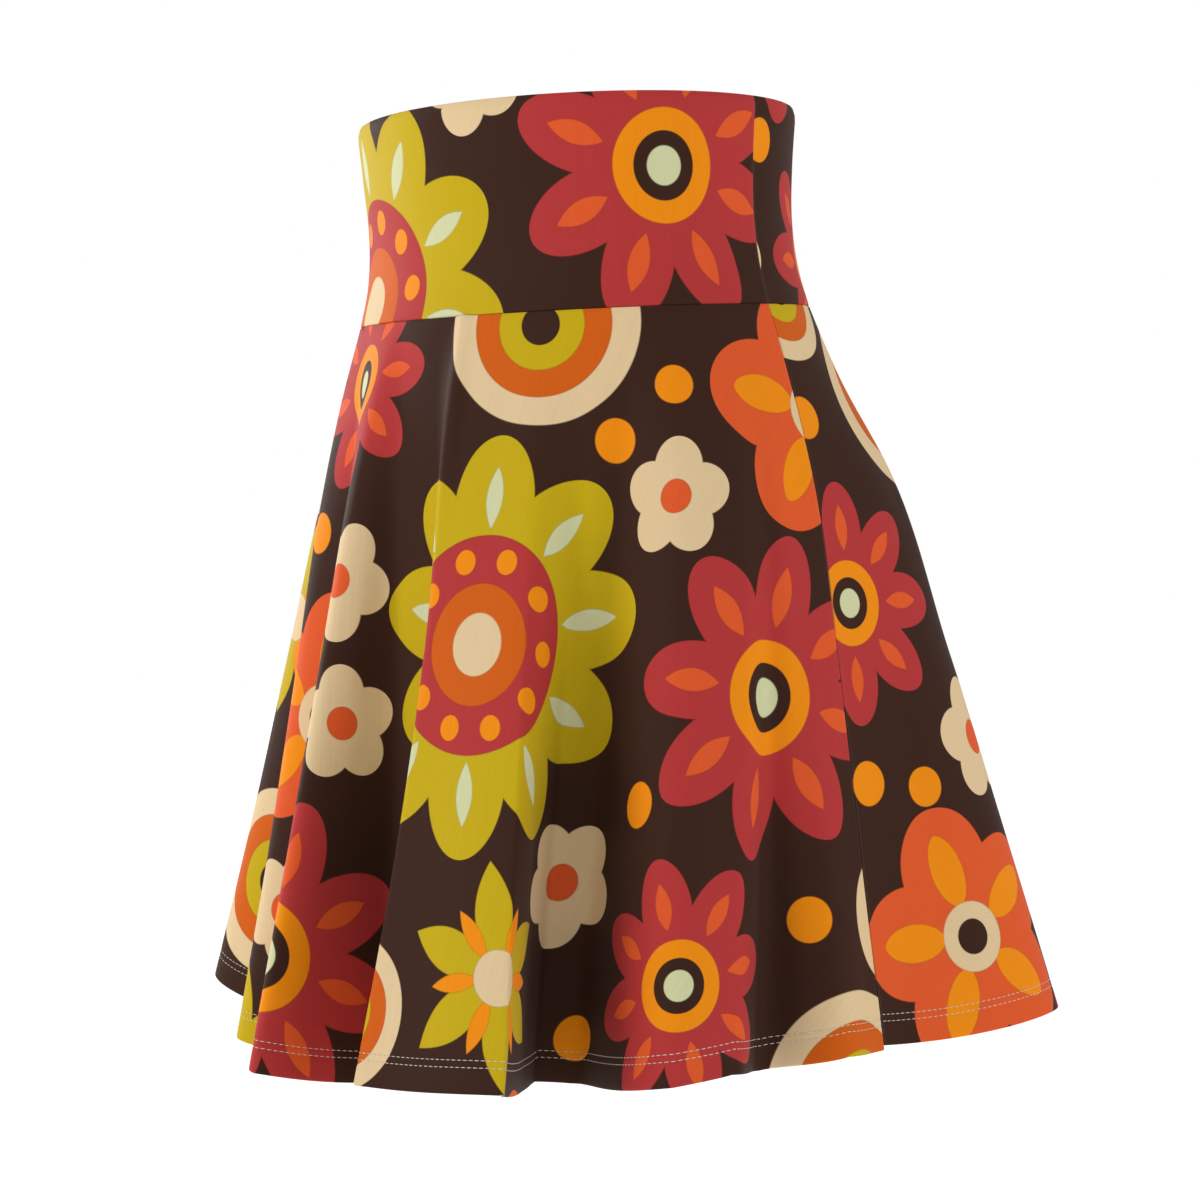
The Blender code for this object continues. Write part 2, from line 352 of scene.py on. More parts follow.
def skirt_cloth(first, last, shares):
    """A panel with its folds, as rows of (x, y, z, cut across, cut along), one row for each share."""
    columns = column_turns(first, last)
    levels = np.linspace(0, 1, CUT_LEVELS)
    flat, across, runs = [], [], []
    for level in levels:
        even, ring, distance = skirt_ring(level)
        place = np.interp(columns, turn_places, distance)
        ends = place[[0, -1]]
        place = ends[0] + SEAM_ROLL + (place - ends[0]) * (1 - 2 * SEAM_ROLL / (ends[1] - ends[0]))
        flat.append(np.array([np.interp(place, even, side) for side in ring.T]).T)
        worn = along(ring[:-1])  # measured on the softened ring, so that the print isn't squeezed at a crest
        seams = np.interp(ends, even, worn)
        runs.append(seams[1] - seams[0])
        across.append((np.interp(place, even, worn) - seams[0]) / runs[-1])
    flat, across = np.array(flat), np.array(across)
    lengths = np.array([turn.length for turn in TURNS + TURNS[:1]])
    if last == len(FRONT_TURNS):
        lengths[last] += HEM_STEP
    length = np.interp(columns, np.arange(len(lengths)), lengths)
    drift = np.linalg.norm(np.diff(flat, axis=0), axis=2)
    drop = np.sqrt((length / (CUT_LEVELS - 1)) ** 2 - drift**2)
    top = WAIST_SEAM.height + WAIST_SEAM.back_rise * flat[0, :, 1]
    height = np.vstack([top, top - np.cumsum(drop, axis=0)])
    spread = (runs[-1] - runs[0]) / length.mean()
    radius = runs[0] / spread + levels[:, None] * length
    angle = spread * (across - 0.5)
    cloth = np.dstack([flat, height, radius * np.sin(angle), -radius * np.cos(angle)])
    step = np.interp(shares, levels, np.arange(CUT_LEVELS))
    above = np.minimum(step.astype(int), CUT_LEVELS - 2)
    part = (step - above)[:, None, None]
    return cloth[above] * (1 - part) + cloth[above + 1] * part


print("a skirt panel has", SKIRT_COLUMNS, "columns")

# %% [markdown]
# ## Small creases
#
# Between the big folds the knit still shows soft dents and ridges: some run down from the waist seam,
# some start halfway and open towards the hem. Each row of the table is one of them, with its line from
# top to bottom as a share of the panel's width, its half width and its depth. Ridges have a positive
# depth. They are uneven on purpose, because real cloth never falls the same twice.

# %% Creases
Crease = namedtuple("Crease", "top_place foot_place top_share foot_share half_width depth")
FRONT_CREASES = (
    Crease(0.09, 0.07, 0.00, 0.55, 0.007, -0.0016),
    Crease(0.21, 0.20, 0.35, 1.10, 0.010, 0.0014),
    Crease(0.31, 0.31, 0.00, 0.45, 0.006, -0.0010),
    Crease(0.43, 0.44, 0.15, 0.75, 0.007, 0.0009),
    Crease(0.549, 0.570, -0.14, 0.40, 0.0048, 0.0026),
    Crease(0.62, 0.62, 0.02, 0.50, 0.008, -0.0009),
    Crease(0.70, 0.72, 0.45, 1.15, 0.012, -0.0018),
    Crease(0.79, 0.80, 0.00, 0.60, 0.010, 0.0010),
    Crease(0.90, 0.89, 0.55, 1.15, 0.011, -0.0020),
    Crease(0.95, 0.95, 0.05, 0.60, 0.008, 0.0009),
    Crease(0.950, 0.942, 0.20, 1.20, 0.008, 0.0018),
)
BACK_CREASES = (
    Crease(0.05, 0.06, 0.30, 1.10, 0.010, -0.0016),
    Crease(0.15, 0.14, 0.00, 0.50, 0.007, 0.0012),
    Crease(0.27, 0.26, 0.40, 1.10, 0.009, -0.0012),
    Crease(0.36, 0.37, 0.00, 0.45, 0.006, -0.0014),
    Crease(0.48, 0.47, 0.05, 0.60, 0.008, 0.0013),
    Crease(0.60, 0.61, 0.50, 1.15, 0.010, 0.0012),
    Crease(0.71, 0.70, 0.00, 0.50, 0.007, -0.0012),
    Crease(0.84, 0.86, 0.35, 1.10, 0.011, -0.0018),
    Crease(0.93, 0.94, 0.00, 0.60, 0.008, 0.0012),
)
CREASE_TOP_WIDTH = 0.7  # of the half width, which grows on the way down
CREASE_WIDENING = 0.6
CREASE_FADE = 1.5


def outward(cloth):
    """Unit normals of rows that run down and columns that run round from the wearer's right to the left."""
    down = np.gradient(cloth[:, :, :3], axis=0)
    round_it = np.gradient(cloth[:, :, :3], axis=1)
    normal = np.cross(down, round_it)
    return normal / np.linalg.norm(normal, axis=2, keepdims=True)


def creased(cloth, creases, shares):
    """The cloth again, moved in or out along its normals by each crease."""
    steps = np.linalg.norm(np.diff(cloth[:, :, :3], axis=1), axis=2)
    round_it = np.concatenate([np.zeros((len(cloth), 1)), np.cumsum(steps, axis=1)], axis=1)
    share = shares[:, None]
    move = np.zeros(round_it.shape)
    for crease in creases:
        t = np.clip((share - crease.top_share) / (crease.foot_share - crease.top_share), 0, 1)
        line = (crease.top_place + (crease.foot_place - crease.top_place) * t) * round_it[:, -1:]
        width = crease.half_width * (CREASE_TOP_WIDTH + CREASE_WIDENING * t)
        strength = np.sin(pi * t) ** CREASE_FADE
        move += crease.depth * strength * np.exp(-(((round_it - line) / width) ** 2))
    moved = cloth.copy()
    moved[:, :, :3] += outward(cloth) * move[:, :, None]
    return moved


print(len(FRONT_CREASES) + len(BACK_CREASES), "small creases")

# %% [markdown]
# ## Edges that turn in
#
# Cloth is never simply cut off. At a seam it turns in and both pieces go on inside, as seam allowances.
# At the hem it turns up inside, and at the top of the band it is folded over. One helper makes them all:
# it adds rows past an edge, each given by how far it lies past the edge and how far inside the cloth. A
# negative distance past the edge lies back over the panel, as a turned-up hem does.

# %% Turned edges
def round_turn(radius, steps, turn):
    """A round turn of the cloth as (past the edge, inside the cloth) pairs."""
    angles = np.linspace(0, turn, steps + 1)[1:]
    return [(radius * sin(angle), radius * (1 - cos(angle))) for angle in angles]


def turned_edge(cloth, normals, profile, reach=1.0):
    """The rows that follow the last row of the cloth along a profile. The cut goes on at the same length."""
    edge, before = cloth[-1], cloth[-2]
    ahead = edge - before
    onward = ahead[:, :3] / np.linalg.norm(ahead[:, :3], axis=1, keepdims=True)
    cut_onward = ahead[:, 3:] / np.linalg.norm(ahead[:, 3:], axis=1, keepdims=True)
    gaps = np.linalg.norm(np.diff(cloth[::-1, :, :3], axis=0), axis=2).mean(axis=1)
    back = np.concatenate([[0], np.cumsum(gaps)])
    rows, travelled, last = [], 0.0, (0.0, 0.0)
    for past, inside in profile:
        travelled += hypot(past - last[0], inside - last[1])
        last = (past, inside)
        place = np.interp(max(-past, 0), back, np.arange(len(back)))
        row = len(cloth) - 1 - int(place)
        part = place - int(place)
        above = max(row - 1, 0)
        base = cloth[row, :, :3] * (1 - part) + cloth[above, :, :3] * part
        normal = normals[row] * (1 - part) + normals[above] * part
        depth = (inside * np.broadcast_to(reach, len(edge)))[:, None]
        point = base + onward * max(past, 0) - normal * depth
        rows.append(np.hstack([point, edge[:, 3:] + cut_onward * travelled]))
    return np.array(rows)


def with_turned_edge(cloth, edge, profile, reach=1.0):
    """The cloth with rows or columns added at one edge: foot, top, right or left, as seen from outside."""
    normals = outward(cloth)
    if edge in ("left", "right"):
        cloth, normals = np.swapaxes(cloth, 0, 1), np.swapaxes(normals, 0, 1)
    if edge in ("left", "top"):
        cloth, normals = cloth[::-1], normals[::-1]
    done = np.concatenate([cloth, turned_edge(cloth, normals, profile, reach)])
    if edge in ("left", "top"):
        done = done[::-1]
    return np.swapaxes(done, 0, 1) if edge in ("left", "right") else done


print("a seam turns in over a radius of", SEAM_ROLL * 1000, "mm")

# %% [markdown]
# ## Cloth pieces
#
# A grid is the natural start for woven or knitted cloth, since it has the rows and columns already.
# `cloth_piece` makes one with `create_grid`, moves its vertices onto the worn form, and stores the flat
# cut as the UV map "cut". A Solidify modifier then gives the sheet its thickness, inwards, with a second
# material on the reverse. The attribute "seam" holds each point's distance from the nearest side seam,
# for the finish.

# %% Cloth pieces
KNIT_THICKNESS = 0.0006


def cloth_piece(name, cloth, seam_distance, materials):
    """A sheet of cloth from its rows of (x, y, z, cut across, cut along), with its face outwards."""
    rows, columns = cloth.shape[:2]
    shape = bmesh.new()
    bmesh.ops.create_grid(shape, x_segments=columns - 1, y_segments=rows - 1, size=1)
    shape.verts.ensure_lookup_table()
    for vertex in shape.verts:
        row, column = divmod(vertex.index, columns)
        vertex.co = cloth[rows - 1 - row, column, :3]
    mesh = bpy.data.meshes.new(name)
    shape.to_mesh(mesh)
    shape.free()
    upward = cloth[::-1].reshape(-1, 5)
    corner = np.zeros(len(mesh.loops), np.int32)
    mesh.loops.foreach_get("vertex_index", corner)
    cut = mesh.uv_layers.new(name="cut")
    cut.data.foreach_set("uv", upward[corner, 3:].astype(np.float32).ravel())
    seam = mesh.attributes.new("seam", "FLOAT", "POINT")
    seam.data.foreach_set("value", seam_distance[::-1].astype(np.float32).ravel())
    for material in materials:
        mesh.materials.append(material)
    mesh.shade_smooth()
    piece = bpy.data.objects.new(name, mesh)
    bpy.context.scene.collection.objects.link(piece)
    thickness = piece.modifiers.new("thickness", "SOLIDIFY")
    thickness.thickness = KNIT_THICKNESS
    thickness.offset = -1
    thickness.material_offset = 1
    thickness.material_offset_rim = 1
    return piece


def from_side_seams(cloth, left, right):
    """Each point's distance on the flat cut from the nearer side seam, at column `left` or `right`."""
    cut = cloth[:, :, 3:]
    to_left = np.linalg.norm(cut - cut[:, left : left + 1], axis=2)
    to_right = np.linalg.norm(cut - cut[:, right : right + 1], axis=2)
    distance = np.minimum(to_left, to_right)
    distance[:, :left] = distance[:, right + 1 :] = 0
    return distance


print("knit", KNIT_THICKNESS * 1000, "mm thick")

# %% [markdown]
# ## The print
#
# The print is a repeat of large retro flowers and leaves in warm colours on dark brown. An image could
# hold it, but a pattern made of nodes stays sharp at any distance. One tile is repeated in columns, each
# dropped by half a tile against the next, which hides the grid. `Wrap` nodes fold the cloth's coordinates
# back into that tile. Where one kind of flower stands in several places, `nearest_place` picks the
# closest of them, so that each kind is worked out only once.

# %% The repeat
TILE_WIDTH = 0.330
TILE_HEIGHT = 0.400

DYES = {
    "brown": (0.0450, 0.0180, 0.0112, 1),
    "crimson": (0.460, 0.040, 0.040, 1),
    "orange": (0.640, 0.114, 0.008, 1),
    "tangerine": (0.750, 0.104, 0.025, 1),
    "amber": (0.880, 0.270, 0.006, 1),
    "olive": (0.565, 0.400, 0.008, 1),
    "cream": (0.765, 0.568, 0.325, 1),
    "lime": (0.645, 0.655, 0.375, 1),
}

retro_print = bpy.data.node_groups.new("retro_print", "ShaderNodeTree")
retro_print.interface.new_socket("Cut", in_out="INPUT", socket_type="NodeSocketVector")
retro_print.interface.new_socket("Color", in_out="OUTPUT", socket_type="NodeSocketColor")
print_input = retro_print.nodes.new("NodeGroupInput")
print_output = retro_print.nodes.new("NodeGroupOutput")


def node(tree, kind, values, **settings):
    """A node with its settings, and with each input set to a number or joined to another node's output."""
    made = tree.nodes.new(kind)
    for setting, value in settings.items():
        setattr(made, setting, value)
    for place, value in values.items():
        if isinstance(value, bpy.types.NodeSocket):
            tree.links.new(value, made.inputs[place])
        else:
            made.inputs[place].default_value = value
    return made


def maths(tree, operation, *values, clamp=False):
    """The output of one Math node."""
    made = node(tree, "ShaderNodeMath", dict(enumerate(values)), operation=operation, use_clamp=clamp)
    return made.outputs[0]


def in_repeat(across, along_cut, size, turn):
    """The way from a place in the repeat to the point on the cloth, in units of the motif's size."""
    tree = retro_print
    moved = node(tree, "ShaderNodeVectorMath", {0: print_input.outputs["Cut"], 1: (across, along_cut, 0)},
                 operation="SUBTRACT")
    sides = node(tree, "ShaderNodeSeparateXYZ", {0: moved.outputs[0]})
    x = maths(tree, "WRAP", sides.outputs[0], TILE_WIDTH / 2, -TILE_WIDTH / 2)
    columns_on = maths(tree, "SUBTRACT", sides.outputs[0], x)
    dropped = maths(tree, "MULTIPLY_ADD", columns_on, -0.5 * TILE_HEIGHT / TILE_WIDTH, sides.outputs[1])
    y = maths(tree, "WRAP", dropped, TILE_HEIGHT / 2, -TILE_HEIGHT / 2)
    local = node(tree, "ShaderNodeCombineXYZ", {0: x, 1: y})
    turned = node(tree, "ShaderNodeVectorRotate", {0: local.outputs[0], 3: radians(turn)},
                  rotation_type="Z_AXIS")
    scaled = node(tree, "ShaderNodeVectorMath", {0: turned.outputs[0], 3: 1 / size}, operation="SCALE")
    return scaled.outputs[0]


def nearest_place(places):
    """The shortest of several ways, as (distance, angle) from the middle of the nearest motif."""
    tree = retro_print
    way = places[0]
    for other in places[1:]:
        here = node(tree, "ShaderNodeVectorMath", {0: way}, operation="LENGTH")
        there = node(tree, "ShaderNodeVectorMath", {0: other}, operation="LENGTH")
        closer = maths(tree, "LESS_THAN", there.outputs["Value"], here.outputs["Value"])
        mixed = node(tree, "ShaderNodeMix", {0: closer, 4: way, 5: other}, data_type="VECTOR")
        way = mixed.outputs[1]
    distance = node(tree, "ShaderNodeVectorMath", {0: way}, operation="LENGTH").outputs["Value"]
    sides = node(tree, "ShaderNodeSeparateXYZ", {0: way})
    return distance, maths(tree, "ARCTAN2", sides.outputs[1], sides.outputs[0])


print("tile", TILE_WIDTH, "by", TILE_HEIGHT, "m in", len(DYES), "dyes")

# %% [markdown]
# ## Drawing the motifs
#
# Each motif is a stack of simple shapes: discs, and rings of petals. A petal is the space between two
# curves over its own length. With `point` at 0.5 the curve is an ellipse, and with 1 it is a leaf with
# pointed ends. A shape is worked out as how far inside its edge a point lies, so one number gives both
# the fill and the thin darker line that the printer leaves where two colours meet.

# %% Shapes of ink
EDGE_BLUR = 0.00028
EDGE_LINE = 0.0005
EDGE_DARKNESS = 0.40
LINE_SHADE = 0.45


def disc(distance, radius):
    """How far inside a disc a point lies."""
    return maths(retro_print, "SUBTRACT", radius, distance)


def petals(distance, angle, count, middle, half_length, half_width, point, turned=0.0):
    """How far inside a ring of petals a point lies."""
    tree = retro_print
    swung = maths(tree, "ADD", angle, turned * 2 * pi / count)
    own_angle = maths(tree, "WRAP", swung, pi / count, -pi / count)
    out = maths(tree, "MULTIPLY", distance, maths(tree, "COSINE", own_angle))
    aside = maths(tree, "ABSOLUTE", maths(tree, "MULTIPLY", distance, maths(tree, "SINE", own_angle)))
    t = maths(tree, "MULTIPLY_ADD", out, 1 / half_length, -middle / half_length)
    room = maths(tree, "SUBTRACT", 1.0, maths(tree, "MULTIPLY", t, t))
    bulge = maths(tree, "POWER", maths(tree, "MAXIMUM", room, 0.0), point)
    past_end = maths(tree, "MINIMUM", room, 0.0)
    width = maths(tree, "MULTIPLY", maths(tree, "ADD", bulge, past_end), half_width)
    return maths(tree, "SUBTRACT", width, aside)


def painted(under, dye, inside, size):
    """The colour with one more shape printed on it."""
    tree = retro_print
    ink = maths(tree, "MULTIPLY_ADD", inside, size / EDGE_BLUR, 0.5, clamp=True)
    to_edge = maths(tree, "ABSOLUTE", inside)
    near_edge = maths(tree, "MULTIPLY_ADD", to_edge, -size / EDGE_LINE, 1.0, clamp=True)
    filled = node(tree, "ShaderNodeMix", {0: ink, 6: under, 7: DYES[dye]}, data_type="RGBA").outputs[2]
    line = maths(tree, "MULTIPLY", near_edge, EDGE_DARKNESS)
    dark = tuple(LINE_SHADE * part for part in DYES[dye][:3]) + (1,)
    return node(tree, "ShaderNodeMix", {0: line, 6: filled, 7: dark}, data_type="RGBA").outputs[2]


# %% [markdown]
# ## The motifs and their places
#
# The big flowers carry the design and the small ones fill the ground between them, so that over two
# fifths of the cloth stays brown. Sizes are the radius of each motif and places lie in the tile, both in
# metres.

# %% Motifs
Place = namedtuple("Place", "across along size turn")
Petals = namedtuple("Petals", "dye count middle half_length half_width point turned")
Disc = namedtuple("Disc", "dye radius")
MOTIFS = {
    "sunflower": (
        (Place(0.092, 0.107, 0.095, 8),),
        (
            Petals("olive", 10, 0.64, 0.36, 0.235, 0.50, 0.0),
            Petals("lime", 10, 0.70, 0.15, 0.050, 1.00, 0.0),
            Disc("crimson", 0.52),
            Petals("amber", 10, 0.41, 0.060, 0.060, 0.50, 0.5),
            Disc("orange", 0.29),
            Disc("cream", 0.15),
        ),
    ),
    "daisy": (
        (Place(0.264, 0.160, 0.072, 20), Place(0.290, 0.030, 0.055, 0)),
        (
            Petals("crimson", 8, 0.60, 0.40, 0.235, 0.50, 0.0),
            Petals("tangerine", 8, 0.62, 0.19, 0.070, 1.00, 0.0),
            Disc("amber", 0.35),
            Disc("brown", 0.21),
            Disc("lime", 0.12),
        ),
    ),
    "wheel_flower": (
        (Place(0.216, 0.286, 0.061, 10),),
        (
            Petals("tangerine", 5, 0.52, 0.48, 0.420, 0.50, 0.0),
            Petals("amber", 5, 0.52, 0.28, 0.140, 0.60, 0.0),
            Disc("cream", 0.26),
            Disc("brown", 0.13),
        ),
    ),
    "target": (
        (Place(0.079, 0.253, 0.046, 0), Place(0.059, 0.338, 0.034, 0)),
        (Disc("cream", 1.0), Disc("orange", 0.72), Disc("olive", 0.45), Disc("brown", 0.20)),
    ),
    "leaf_star": (
        (Place(0.141, 0.369, 0.050, 12),),
        (
            Petals("olive", 6, 0.54, 0.46, 0.190, 1.00, 0.0),
            Petals("amber", 6, 0.44, 0.26, 0.080, 1.00, 0.5),
            Disc("cream", 0.24),
        ),
    ),
    "blossom": (
        (
            Place(0.194, 0.031, 0.029, 0),
            Place(0.171, 0.204, 0.027, 30),
            Place(0.299, 0.331, 0.029, 12),
            Place(0.305, 0.265, 0.027, 50),
        ),
        (Petals("cream", 5, 0.50, 0.50, 0.440, 0.50, 0.0), Disc("tangerine", 0.28)),
    ),
    "dot": (
        (
            Place(0.130, 0.215, 0.010, 0),
            Place(0.147, 0.249, 0.009, 0),
            Place(0.254, 0.346, 0.009, 0),
            Place(0.233, 0.373, 0.010, 0),
            Place(0.226, 0.083, 0.010, 0),
            Place(0.342, 0.098, 0.010, 0),
        ),
        (Disc("amber", 1.0),),
    ),
}

ground = node(retro_print, "ShaderNodeRGB", {})
ground.outputs[0].default_value = DYES["brown"]
colour = ground.outputs[0]
for places, shapes in MOTIFS.values():
    size = places[0].size
    distance, angle = nearest_place([in_repeat(*place) for place in places])
    for shape in shapes:
        if isinstance(shape, Disc):
            inside = disc(distance, shape.radius)
        else:
            inside = petals(distance, angle, *shape[1:])
        colour = painted(colour, shape.dye, inside, size)
retro_print.links.new(colour, print_output.inputs["Color"])
print(len(MOTIFS), "motifs from", len(retro_print.nodes), "nodes")

# %% [markdown]
# ## The finish of the knit
#
# A smooth jersey shows columns of tiny V-shaped loops from close by, and from a step away only a faint
# streak down the cloth. The bump is a wave bent into Vs in the cloth's own coordinates. A short, soft nap
# catches light at grazing angles, which the shader's sheen gives. The dye sits on the face only, so the
# reverse is off-white with the print showing faintly through.

# %% Knit materials
LOOP_WIDTH = 0.00075
LOOP_HEIGHT = 0.00060
LOOP_DEPTH = 0.00012
LOOP_STRENGTH = 0.25
STREAKS = (700, 22, 1)  # noise cells to a metre across and along the cut
STREAK_DEPTH = 0.10
SEAM_WIDTH = 0.0006
SEAM_PALENESS = 0.02
KNIT_ROUGHNESS = 0.58
REVERSE_WHITE = (0.66, 0.60, 0.53, 1)
SHOW_THROUGH = 0.16


def knit_bump(tree, cut):
    """Columns of V-shaped loops as a height, from the flat cut."""
    sides = node(tree, "ShaderNodeSeparateXYZ", {0: cut})
    column = maths(tree, "MULTIPLY", sides.outputs[0], 1 / LOOP_WIDTH)
    aside = maths(tree, "PINGPONG", column, 0.5)
    ridge = maths(tree, "SINE", maths(tree, "MULTIPLY", aside, 2 * pi))
    row = maths(tree, "MULTIPLY_ADD", sides.outputs[1], 1 / LOOP_HEIGHT, maths(tree, "MULTIPLY", aside, -1.4))
    wave = maths(tree, "SINE", maths(tree, "MULTIPLY", row, 2 * pi))
    return maths(tree, "MULTIPLY_ADD", wave, 0.35, ridge)


def knit_material(name, shift, reverse=False):
    """Printed jersey, with the print moved by `shift` metres on this panel."""
    material = bpy.data.materials.new(name)
    material.use_nodes = True
    tree = material.node_tree
    surface = tree.nodes["Principled BSDF"]
    uv = node(tree, "ShaderNodeUVMap", {}, uv_map="cut")
    moved = node(tree, "ShaderNodeMapping", {0: uv.outputs[0], 1: (*shift, 0)})
    dyed = node(tree, "ShaderNodeGroup", {}, node_tree=retro_print)
    tree.links.new(moved.outputs[0], dyed.inputs["Cut"])
    stretched = node(tree, "ShaderNodeMapping", {0: uv.outputs[0], 3: STREAKS})
    streak = node(tree, "ShaderNodeTexNoise", {"Vector": stretched.outputs[0], "Scale": 1.0, "Detail": 2.0})
    lightness = maths(tree, "MULTIPLY_ADD", streak.outputs["Fac"], STREAK_DEPTH, 1 - STREAK_DEPTH / 2)
    streaked = node(tree, "ShaderNodeVectorMath", {0: dyed.outputs[0], 3: lightness}, operation="SCALE")
    if reverse:
        base = node(tree, "ShaderNodeMix", {0: SHOW_THROUGH, 6: REVERSE_WHITE, 7: streaked.outputs[0]},
                    data_type="RGBA")
    else:
        seam = node(tree, "ShaderNodeAttribute", {}, attribute_name="seam")
        at_seam = maths(tree, "MULTIPLY_ADD", seam.outputs["Fac"], -1 / SEAM_WIDTH, 1.0, clamp=True)
        paler = maths(tree, "MULTIPLY", at_seam, SEAM_PALENESS)
        base = node(tree, "ShaderNodeMix", {0: paler, 6: streaked.outputs[0], 7: REVERSE_WHITE},
                    data_type="RGBA")
    tree.links.new(base.outputs[2], surface.inputs["Base Color"])
    loops = knit_bump(tree, uv.outputs[0])
    bump = node(tree, "ShaderNodeBump", {"Strength": LOOP_STRENGTH, "Distance": LOOP_DEPTH, "Height": loops})
    tree.links.new(bump.outputs[0], surface.inputs["Normal"])
    surface.inputs["Roughness"].default_value = KNIT_ROUGHNESS
    surface.inputs["Specular IOR Level"].default_value = 0.05
    surface.inputs["Sheen Weight"].default_value = 0.08
    surface.inputs["Sheen Roughness"].default_value = 0.35
    surface.inputs["Sheen Tint"].default_value = (1.0, 0.93, 0.88, 1)
    return material


PRINT_SHIFTS = {
    "skirt_front": (0.020, 0.060),
    "skirt_back": (0.200, 0.100),
    "band_front": (0.150, 0.100),
    "band_back": (0.060, 0.210),
}
knit = {name: knit_material(name + "_print", shift) for name, shift in PRINT_SHIFTS.items()}
knit_reverse = {name: knit_material(name + "_reverse", PRINT_SHIFTS[name], reverse=True) for name in knit}
print(len(knit) + len(knit_reverse), "knit materials")

# %% [markdown]
# ## The waistband
#
# The band is one wide strip for each half, folded over at the top and sewn into the waist seam with both
# layers. So the print shows outside and inside. Its top edge is a soft round fold that leans in a little,
# and where it meets the skirt it turns in sharply, which draws the crisp line of the waist seam.

# %% Waistband
BAND_COLUMNS = 150
BAND_ROWS = 34
FOLD_RADIUS = 0.0009
CROWN_HEIGHT = 0.006
CROWN_LEAN = 0.0018
CROWN_ROUNDNESS = 0.9
INNER_LAYER = (0.0015, 0.091)  # from just below the fold to just above the waist seam
BAND_ALLOWANCE = 0.007
BAND_SIDE_REACH = 0.13  # the side allowances of the band stay between its two layers


def band_cloth(side):
    """The outer layer of one half of the band as rows of (x, y, z, cut across, cut along)."""
    seam, top = WAIST_SEAM.height + SEAM_ROLL, BAND_RINGS[0].height - FOLD_RADIUS
    height = np.linspace(top, seam, BAND_ROWS + 1)[:, None]
    half_width, half_depth, back_shift, back_rise = through_rows(BAND_RINGS, height)
    t = np.clip((height - top + CROWN_HEIGHT) / CROWN_HEIGHT, 0, 1)
    lean = CROWN_LEAN * (1 - np.sqrt(1 - CROWN_ROUNDNESS * t**2))
    start = -pi / 2 if side == "front" else pi / 2
    trim = SEAM_ROLL / half_depth
    share = np.linspace(0, 1, BAND_COLUMNS + 1)
    angle = start + trim + (pi - 2 * trim) * share
    across = (half_width - lean) * np.sin(angle)
    back = back_shift - (half_depth - lean) * np.cos(angle)
    cut_across = np.broadcast_to(waist_girth / 2 * (share - 0.5), across.shape)
    cut_along = np.broadcast_to(height - seam, across.shape)
    return np.dstack([across, back, height + back_rise * back, cut_across, cut_along])


seam_turn = round_turn(SEAM_ROLL, 3, pi / 2)
allowance_profile = seam_turn + [(SEAM_ROLL, 0.0033), (SEAM_ROLL, 0.0058)]
band_foot = seam_turn + [(0.0012, 0.0022), (0.0030, 0.0036), (BAND_ALLOWANCE, 0.0040)]


def with_side_allowances(cloth, reach):
    """The cloth with an allowance at both side seams, and each point's distance from the nearer seam."""
    whole = with_turned_edge(cloth, "left", allowance_profile, reach)
    whole = with_turned_edge(whole, "right", allowance_profile, reach)
    seam_column = len(allowance_profile)
    return whole, from_side_seams(whole, seam_column, whole.shape[1] - 1 - seam_column)


for side in ("front", "back"):
    outer = band_cloth(side)
    inner = [(-distance, 2 * FOLD_RADIUS) for distance in np.linspace(*INNER_LAYER, BAND_ROWS)]
    whole = with_turned_edge(outer, "foot", band_foot)
    whole = with_turned_edge(whole, "top", round_turn(FOLD_RADIUS, 6, pi) + inner)
    whole, seam_distance = with_side_allowances(whole, np.full(len(whole), BAND_SIDE_REACH))
    name = "band_" + side
    piece = cloth_piece(name + "_knit", whole, seam_distance, [knit[name], knit_reverse[name]])
    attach(piece, "root")
    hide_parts("waistband_" + side)
    print(piece.name, "rows and columns:", whole.shape[:2])

# %% [markdown]
# ## The skirt panels
#
# The rows of a panel follow its cut from the waist seam to the hem. They lie closer at the hem, where two
# lines of stitching pull shallow grooves, and then the cloth turns up inside. At the sides the allowances
# turn in and stand inside as narrow flanges, shorter within the hem.

# %% Skirt
SKIRT_ROWS = 72
HEM_RADIUS = 0.0008
HEM_TURNED = 0.0185
STITCH_LINES = (0.0109, 0.0139)  # above the edge of the hem
GROOVE_DEPTH = 0.00022
GROOVE_WIDTH = 0.0009
HEM_ROWS = (  # above the edge too, and close together round the stitching
    0.0240, 0.0210, 0.0180, 0.0160, 0.0149, 0.0139, 0.0131, 0.0124, 0.0117, 0.0109, 0.0100, 0.0070, 0.0035
)
SIDE_REACH = 1.0
HEM_SIDE_REACH = 0.13  # within the hem the side allowances stay between its two layers

cut_length = np.mean([turn.length for turn in TURNS])
hem_rows = 1 - np.array(HEM_ROWS + (HEM_RADIUS,)) / cut_length
rows_above_hem = np.linspace(SEAM_ROLL / cut_length, hem_rows[0], SKIRT_ROWS, endpoint=False)
skirt_shares = np.concatenate([rows_above_hem, hem_rows])
waist_edge = seam_turn + [(0.0006, 0.0022), (-0.0012, 0.0030), (-0.0060, 0.0030)]
hem_edge = round_turn(HEM_RADIUS, 6, pi) + [
    (-distance, 2 * HEM_RADIUS) for distance in np.linspace(0.002, HEM_TURNED, 7)
]


def stitch_grooves(cloth, shares):
    """The shallow grooves that the two lines of stitching pull into the hem."""
    above_edge = (1 - shares) * cut_length
    pull = sum(np.exp(-(((above_edge - line) / GROOVE_WIDTH) ** 2)) for line in STITCH_LINES)
    grooved = cloth.copy()
    grooved[:, :, :3] -= outward(cloth) * (GROOVE_DEPTH * pull)[:, None, None]
    return grooved


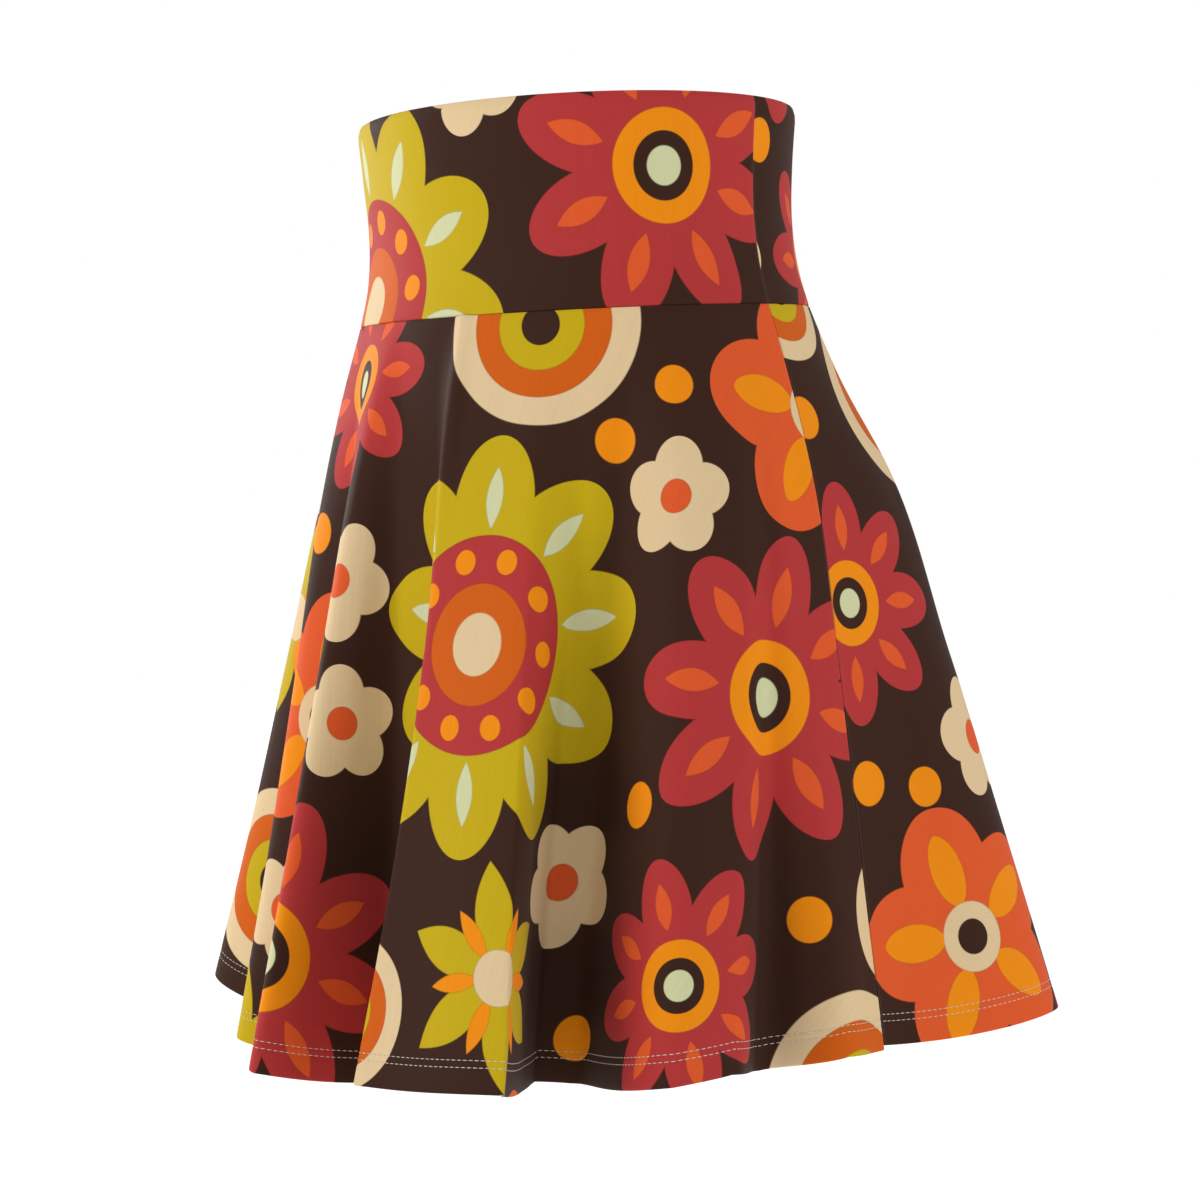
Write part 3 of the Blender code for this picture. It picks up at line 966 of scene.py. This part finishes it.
skirt_pieces, skirt_faces = [], {}
for side, first, last, creases in (
    ("front", 0, len(FRONT_TURNS), FRONT_CREASES),
    ("back", len(FRONT_TURNS), len(TURNS), BACK_CREASES),
):
    face = creased(skirt_cloth(first, last, skirt_shares), creases, skirt_shares)
    skirt_faces[side] = face
    whole = with_turned_edge(stitch_grooves(face, skirt_shares), "foot", hem_edge)
    whole = with_turned_edge(whole, "top", waist_edge)
    reach = np.full(len(whole), HEM_SIDE_REACH)
    above_hem = len(waist_edge) + SKIRT_ROWS
    reach[len(waist_edge) : above_hem] = SIDE_REACH
    whole, seam_distance = with_side_allowances(whole, reach)
    name = "skirt_" + side
    piece = cloth_piece(name + "_knit", whole, seam_distance, [knit[name], knit_reverse[name]])
    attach(piece, "root")
    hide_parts(name)
    skirt_pieces.append((side, piece, whole))
    print(piece.name, "rows and columns:", whole.shape[:2])

# %% [markdown]
# ## Hem stitching
#
# The hem is held by a machine that sews two parallel lines at once. Each stitch lies on the cloth as a
# short, soft dash of thread with its ends sunk in. A twenty-sided ball, stretched along the hem, is
# enough for each: there are about twelve hundred of them, so each has to stay light.

# %% Stitches
STITCH_PITCH = 0.0029
STITCH_LENGTH = 0.0026
THREAD_WIDTH = 0.00042
THREAD_HEIGHT = 0.00034
THREAD_SHADE = (0.54, 0.48, 0.42, 1)
THREAD_LIGHT = (0.82, 0.75, 0.67, 1)
FUZZ_SCALE = 700.0


def thread_material():
    """Off-white thread, a little uneven from stitch to stitch."""
    material = bpy.data.materials.new("hem_thread")
    material.use_nodes = True
    tree = material.node_tree
    surface = tree.nodes["Principled BSDF"]
    where = node(tree, "ShaderNodeTexCoord", {})
    fuzz = node(tree, "ShaderNodeTexNoise",
                {"Vector": where.outputs["Object"], "Scale": FUZZ_SCALE, "Detail": 2.0})
    tone = node(tree, "ShaderNodeMix", {0: fuzz.outputs["Fac"], 6: THREAD_SHADE, 7: THREAD_LIGHT},
                data_type="RGBA")
    tree.links.new(tone.outputs[2], surface.inputs["Base Color"])
    surface.inputs["Roughness"].default_value = 0.65
    return material


def stitch_places(face, above_edge):
    """Points, directions and normals one stitch apart along a line that far above the hem edge."""
    share = 1 - above_edge / cut_length
    row = np.interp(share, skirt_shares, np.arange(len(skirt_shares)))
    below, part = int(row), row - int(row)
    line = face[below, :, :3] * (1 - part) + face[below + 1, :, :3] * part
    normals = outward(face)[below]
    run = np.concatenate([[0], np.cumsum(np.linalg.norm(np.diff(line, axis=0), axis=1))])
    count = round(run[-1] / STITCH_PITCH)
    at = (np.arange(count) + 0.5) * run[-1] / count

    def read(values):
        return np.array([np.interp(at, run, side) for side in values.T]).T

    return read(line), read(np.gradient(line, run, axis=0)), read(normals)


def stitches(name, face, material):
    """Both lines of stitches in one panel's hem, as one mesh."""
    shape = bmesh.new()
    for above_edge in STITCH_LINES:
        for point, along_hem, normal in zip(*stitch_places(face, above_edge)):
            x = Vector(along_hem).normalized()
            z = Vector(normal).normalized()
            y = z.cross(x).normalized()
            z = x.cross(y)
            sides = x * STITCH_LENGTH, y * THREAD_WIDTH, z * THREAD_HEIGHT
            lay = Matrix(((*sides[0], 0), (*sides[1], 0), (*sides[2], 0), (0, 0, 0, 1))).transposed()
            lay.translation = Vector(point) - z * (GROOVE_DEPTH / 2)
            bmesh.ops.create_icosphere(shape, subdivisions=1, radius=0.5, matrix=lay)
    mesh = bpy.data.meshes.new(name)
    shape.to_mesh(mesh)
    shape.free()
    mesh.materials.append(material)
    mesh.shade_smooth()
    piece = bpy.data.objects.new(name, mesh)
    bpy.context.scene.collection.objects.link(piece)
    return piece


thread = thread_material()
for side in ("front", "back"):
    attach(stitches("hem_stitches_" + side, skirt_faces[side], thread), "root")
